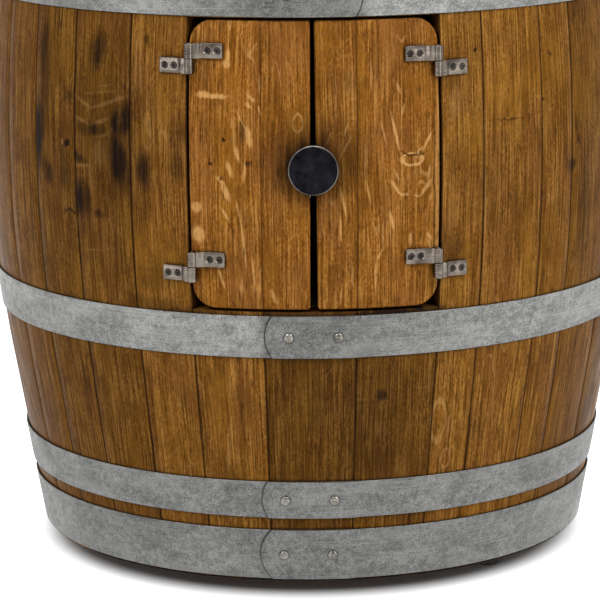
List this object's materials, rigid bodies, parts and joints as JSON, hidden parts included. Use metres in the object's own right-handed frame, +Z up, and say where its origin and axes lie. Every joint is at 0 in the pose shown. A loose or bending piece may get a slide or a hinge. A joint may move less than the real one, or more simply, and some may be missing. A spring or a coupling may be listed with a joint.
{
  "type": "barrel bar cabinet",
  "caption": "Oak wine barrel on swivel castors made into a bar cabinet: a pair of doors sawn out of the front staves, lift-off hinges, a round knob and an inner shelf.",
  "frame": {"origin": "on the floor under the middle of the whole object's box; the barrel's own axis stands 4.5 mm behind it, because the knob stands proud of the doors", "axes": "+Z up along the barrel's axis, -Y to the front, where the doors are, +X to the viewer's right"},
  "size_m": [0.7039, 0.713, 0.912],
  "materials": {
    "barrel_oak": "satin varnished oak",
    "door_oak": "satin varnished oak, sanded lighter",
    "head_oak": "satin varnished oak boards",
    "sawn_oak": "planed oak, oiled",
    "galvanised_steel": "hot-dip galvanised strap, mottled and scuffed",
    "rivet_steel": "plated rivet heads",
    "stainless_steel": "brushed stainless",
    "blackened_steel": "blackened, polished, bright rim",
    "zinc_steel": "zinc plated pressed steel",
    "wheel_rubber": "grey-black rubber",
    "catch_plastic": "brown moulded plastic"
  },
  "bodies": {
    "barrel": {"barrel_hinge_leaves": "stainless_steel", "barrel_hinge_screws": "stainless_steel", "bottom_head": "head_oak", "castor_plate_screws": "zinc_steel", "castor_plates": "zinc_steel", "hinge_pins": "stainless_steel", "hoop_rivets": "rivet_steel", "left_stave_1": "barrel_oak", "left_stave_2": "barrel_oak", "left_stave_3": "barrel_oak", "left_stave_4": "barrel_oak", "left_stave_5": "barrel_oak", "lower_bilge_hoop": "galvanised_steel", "lower_chime_hoop": "galvanised_steel", "lower_cut_stave_left": "barrel_oak", "lower_cut_stave_middle": "barrel_oak", "lower_cut_stave_right": "barrel_oak", "lower_quarter_hoop": "galvanised_steel", "magnetic_catches": "catch_plastic", "rear_staves": "barrel_oak", "right_stave_1": "barrel_oak", "right_stave_2": "barrel_oak", "right_stave_3": "barrel_oak", "right_stave_4": "barrel_oak", "right_stave_5": "barrel_oak", "shelf": "sawn_oak", "shelf_cleats": "sawn_oak", "top_head": "head_oak", "upper_bilge_hoop": "galvanised_steel", "upper_chime_hoop": "galvanised_steel", "upper_cut_stave_left": "barrel_oak", "upper_cut_stave_middle": "barrel_oak", "upper_cut_stave_right": "barrel_oak", "upper_quarter_hoop": "galvanised_steel"},
    "left_door": {"left_door_battens": "sawn_oak", "left_door_hinge_leaves": "stainless_steel", "left_door_hinge_screws": "stainless_steel", "left_door_inner_board": "door_oak", "left_door_outer_board": "door_oak", "left_door_strike_plate": "zinc_steel"},
    "right_door": {"knob": "blackened_steel", "knob_screw": "stainless_steel", "right_door_battens": "sawn_oak", "right_door_hinge_leaves": "stainless_steel", "right_door_hinge_screws": "stainless_steel", "right_door_inner_board": "door_oak", "right_door_outer_board": "door_oak", "right_door_strike_plate": "zinc_steel"},
    "front_left_castor_swivel": {"front_left_castor_fork": "zinc_steel", "front_left_castor_axle": "zinc_steel"},
    "front_left_castor_roller": {"front_left_castor_wheel": "wheel_rubber"},
    "front_right_castor_swivel": {"front_right_castor_fork": "zinc_steel", "front_right_castor_axle": "zinc_steel"},
    "front_right_castor_roller": {"front_right_castor_wheel": "wheel_rubber"},
    "rear_left_castor_swivel": {"rear_left_castor_fork": "zinc_steel", "rear_left_castor_axle": "zinc_steel"},
    "rear_left_castor_roller": {"rear_left_castor_wheel": "wheel_rubber"},
    "rear_right_castor_swivel": {"rear_right_castor_fork": "zinc_steel", "rear_right_castor_axle": "zinc_steel"},
    "rear_right_castor_roller": {"rear_right_castor_wheel": "wheel_rubber"}
  },
  "joints": [
    {"name": "right_door_hinge", "type": "hinge", "parent": "barrel", "child": "right_door", "pos_m": [0.12524, -0.32717, 0.4735], "axis": [0, 0, 1], "range_deg": [0, 170]},
    {"name": "left_door_hinge", "type": "hinge", "parent": "barrel", "child": "left_door", "pos_m": [-0.12202, -0.32828, 0.4735], "axis": [0, 0, -1], "range_deg": [0, 170]},
    {"name": "front_left_castor_turn", "type": "hinge", "parent": "barrel", "child": "front_left_castor_swivel", "pos_m": [-0.16851, -0.13689, 0.068], "axis": [0, 0, 1], "continuous": true},
    {"name": "front_left_castor_roll", "type": "hinge", "parent": "front_left_castor_swivel", "child": "front_left_castor_roller", "pos_m": [-0.14851, -0.13689, 0.025], "axis": [0, 1, 0], "continuous": true},
    {"name": "front_right_castor_turn", "type": "hinge", "parent": "barrel", "child": "front_right_castor_swivel", "pos_m": [0.16851, -0.13689, 0.068], "axis": [0, 0, 1], "continuous": true},
    {"name": "front_right_castor_roll", "type": "hinge", "parent": "front_right_castor_swivel", "child": "front_right_castor_roller", "pos_m": [0.18851, -0.13689, 0.025], "axis": [0, 1, 0], "continuous": true},
    {"name": "rear_left_castor_turn", "type": "hinge", "parent": "barrel", "child": "rear_left_castor_swivel", "pos_m": [-0.16851, 0.14589, 0.068], "axis": [0, 0, 1], "continuous": true},
    {"name": "rear_left_castor_roll", "type": "hinge", "parent": "rear_left_castor_swivel", "child": "rear_left_castor_roller", "pos_m": [-0.14851, 0.14589, 0.025], "axis": [0, 1, 0], "continuous": true},
    {"name": "rear_right_castor_turn", "type": "hinge", "parent": "barrel", "child": "rear_right_castor_swivel", "pos_m": [0.16851, 0.14589, 0.068], "axis": [0, 0, 1], "continuous": true},
    {"name": "rear_right_castor_roll", "type": "hinge", "parent": "rear_right_castor_swivel", "child": "rear_right_castor_roller", "pos_m": [0.18851, 0.14589, 0.025], "axis": [0, 1, 0], "continuous": true}
  ],
  "couplings": [
    {"joint": "left_door_hinge", "follows": "right_door_hinge", "ratio": 1}
  ]
}
